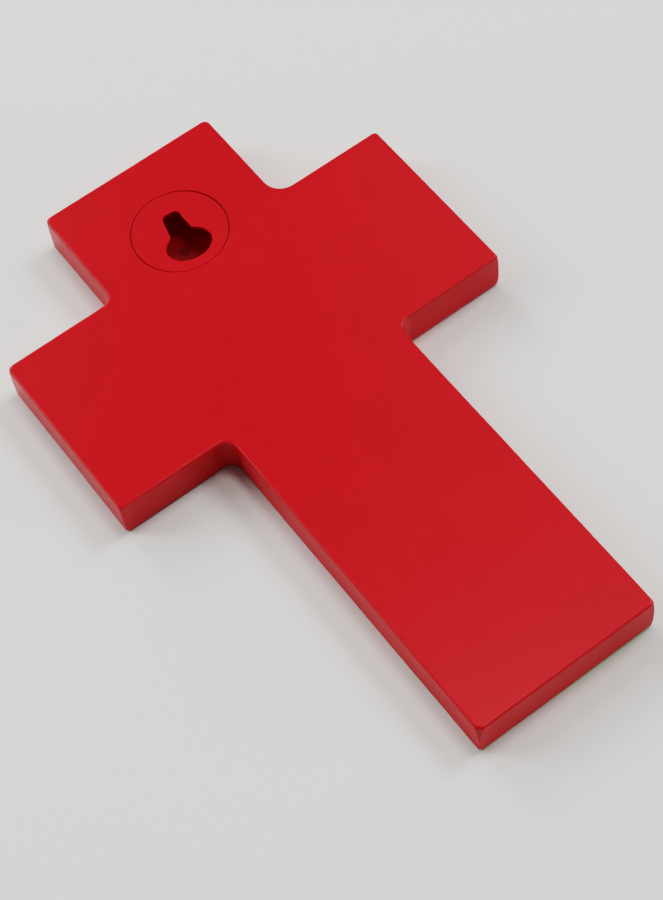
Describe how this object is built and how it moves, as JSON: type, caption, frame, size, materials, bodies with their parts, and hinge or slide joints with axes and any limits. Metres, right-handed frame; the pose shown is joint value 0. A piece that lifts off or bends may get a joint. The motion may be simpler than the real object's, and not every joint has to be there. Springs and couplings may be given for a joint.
{
  "type": "communion cross",
  "caption": "Small painted wooden wall cross, cut from a flat board with eased edges, with a round keyhole hanger set flush in its back.",
  "frame": {"origin": "centre of the round keyhole hanger, on the plane of the cross's back face", "axes": "+Z out of the back face, +Y towards the head of the cross, +X to the right seen from behind; the cross lies on its front"},
  "size_m": [0.1144, 0.18, 0.012],
  "materials": {
    "red_paint": "satin red paint over a sanded board, with a plain green field on the hidden front at the foot",
    "hanger_paint": "moulded plastic, painted over with the board"
  },
  "bodies": {
    "root": {"cross_board": "red_paint", "keyhole_hanger": "hanger_paint"}
  },
  "joints": []
}
